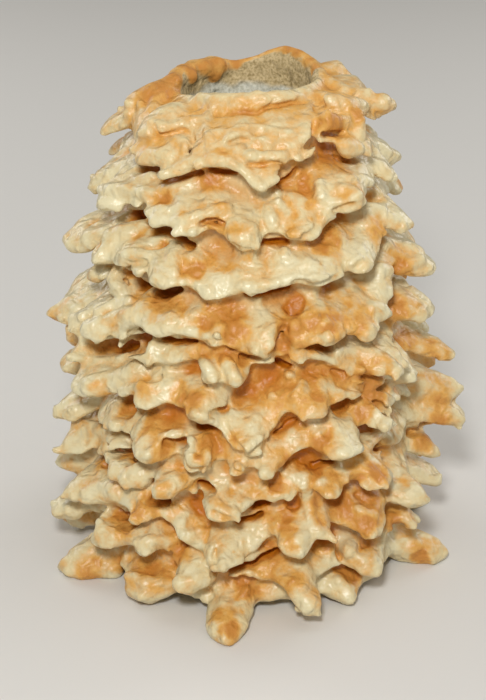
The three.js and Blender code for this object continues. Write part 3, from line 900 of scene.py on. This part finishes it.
place = add("ShaderNodeTexCoord", output="Object")
height = add("ShaderNodeSeparateXYZ", None, {"Vector": place}, output="Z")
covered, airy, toast, wall = [add("ShaderNodeAttribute", {"attribute_name": name}, output="Fac")
                              for name in ("cover", "open_air", "browned", "hole_wall")]
patches, mottle, grain, ripples = [
    add("ShaderNodeTexNoise", None,
        {"Vector": place, "Scale": MM_PER_M / size, "Detail": detail, "Distortion": distortion}, output="Fac")
    for size, detail, distortion in ((PATCH_SIZE, 4.0, 0.0), (MOTTLE_SIZE, 4.0, 0.0), (GRAIN_SIZE, 4.0, 0.0),
                                     (RIPPLE_SIZE, 1.0, 0.5))
]
bareness = BARE_LEVEL
for value, weight in ((covered, -1.0), (mottle, 1.3), (grain, 0.5), (patches, 1.0)):
    bareness = add("ShaderNodeMath", SUM, {0: value, 1: weight, 2: bareness})
bare = add("ShaderNodeMapRange", STEP, {"Value": bareness, "From Min": BARE_FROM, "From Max": BARE_WHOLE})
open_colour = add("ShaderNodeValToRGB", None, {"Fac": bare}, CREAM_TO_TOASTED)
# Painted shade: where little open air reaches, deep in the gaps, the colour turns to the darker amber.
painted_shade_colour = add("ShaderNodeValToRGB", None, {"Fac": bare}, PAINTED_SHADE_IN_GAPS)
shade_share = add("ShaderNodeMapRange", STEP, {"Value": airy, "From Min": SHADE_FROM, "From Max": SHADE_WHOLE})
crust_colour = add("ShaderNodeMix", COLOURS, {"Factor": shade_share, 6: open_colour, 7: painted_shade_colour}, output=2)

sandy_height = add("ShaderNodeMath", SUM, {0: patches, 1: SANDY_UNEVEN / MM_PER_M, 2: height})
sandy = add("ShaderNodeMapRange", STEP, {"Value": sandy_height, "From Min": SANDY_FROM / MM_PER_M,
                                         "From Max": SANDY_WHOLE / MM_PER_M})
pale_colour = add("ShaderNodeValToRGB", None, {"Fac": grain}, PALE_WALL)
sandy_colour = add("ShaderNodeValToRGB", None, {"Fac": grain}, SANDY_WALL)
wall_colour = add("ShaderNodeMix", COLOURS, {"Factor": sandy, 6: pale_colour, 7: sandy_colour}, output=2)
bare_wall = add("ShaderNodeMath", SUM, {0: toast, 1: WALL_TOASTED, 2: wall})
on_wall = add("ShaderNodeMapRange", STEP, {"Value": bare_wall, "From Min": WALL_FROM, "From Max": WALL_WHOLE})
colour = add("ShaderNodeMix", COLOURS, {"Factor": on_wall, 6: crust_colour, 7: wall_colour}, output=2)

roughness = LEAST_ROUGHNESS
for value, weight in ((bare, 0.14), (mottle, 0.1), (wall, 0.35)):
    roughness = add("ShaderNodeMath", SUM, {0: value, 1: weight, 2: roughness})
relief = 0.0
for value, weight in ((grain, 0.06), (mottle, 0.35), (ripples, 1.0)):
    relief = add("ShaderNodeMath", SUM, {0: value, 1: weight, 2: relief})
normal = add("ShaderNodeBump", None, {"Height": relief, "Strength": RELIEF_STRENGTH,
                                      "Distance": RELIEF_HEIGHT / MM_PER_M})
for name, value in (("Base Color", colour), ("Roughness", roughness), ("Normal", normal)):
    tree.links.new(value, shader.inputs[name])
crust.materials.clear()
crust.materials.append(batter)
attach(cake, "root")
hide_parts("spit_cake")

# The floor of the studio: plain, level and wide enough to fill every view. It is painted pale and matt, so
# that it takes the cake's shadow and no glare.
FLOOR_SIDE = 24.0
FLOOR_ROUGHNESS = 0.8
half = FLOOR_SIDE / 2
floor_corners = [(-half, -half, 0), (half, -half, 0), (half, half, 0), (-half, half, 0)]
floor_mesh = bpy.data.meshes.new("floor")
floor_mesh.from_pydata(floor_corners, [], [(0, 1, 2, 3)])
floor = bpy.data.objects.new("floor", floor_mesh)
bpy.context.scene.collection.objects.link(floor)
pale = bpy.data.materials.new("pale matt paint")
pale.use_nodes = True
paint = pale.node_tree.nodes["Principled BSDF"]
paint.inputs["Base Color"].default_value = linear("#DAD8D3")
paint.inputs["Roughness"].default_value = FLOOR_ROUGHNESS
floor_mesh.materials.append(pale)

# Studio light: a small key by the camera gives the glints, a broad box overhead and two at the back light the
# edges, and a dim room fills the shadows. Each lamp has its side, its power, its place and where it aims.
LAMPS = (
    ("key", 0.2, 20.0, (-0.12, -1.42, 1.18), (0, 0, 0.2)),
    ("top", 1.4, 4.0, (0.3, -0.2, 1.7), (0, 0, 0.1)),
    ("left back", 1.0, 9.0, (-1.3, 1.2, 1.0), (0, 0, 0.2)),
    ("right back", 1.0, 9.0, (1.4, 1.1, 0.9), (0, 0, 0.2)),
)
ROOM_STRENGTH = 0.34
for name, size, power, stand, aim in LAMPS:
    light = bpy.data.lights.new(name, "AREA")
    light.size = size
    light.energy = power
    lamp = bpy.data.objects.new(name, light)
    lamp.location = stand
    lamp.rotation_euler = (Vector(aim) - Vector(stand)).to_track_quat("-Z", "Y").to_euler()
    bpy.context.scene.collection.objects.link(lamp)
room = bpy.data.worlds.new("room")
room.use_nodes = True
background = room.node_tree.nodes["Background"]
background.inputs["Color"].default_value = linear("#ECE8E2")
background.inputs["Strength"].default_value = ROOM_STRENGTH
bpy.context.scene.world = room

# The camera: it stands where the photo's did, with a long lens, and looks down on the cake. The picture takes
# the colours as they are.
LENS = 107.8
SENSOR = 36.0
camera_data = bpy.data.cameras.new("camera")
camera_data.lens = LENS
camera_data.sensor_width = SENSOR
camera = bpy.data.objects.new("camera", camera_data)
camera.location = camera_place / MM_PER_M
camera.rotation_euler = (view_tilt, 0.0, 0.0)
bpy.context.scene.collection.objects.link(camera)
bpy.context.scene.camera = camera
bpy.context.scene.view_settings.view_transform = "Standard"
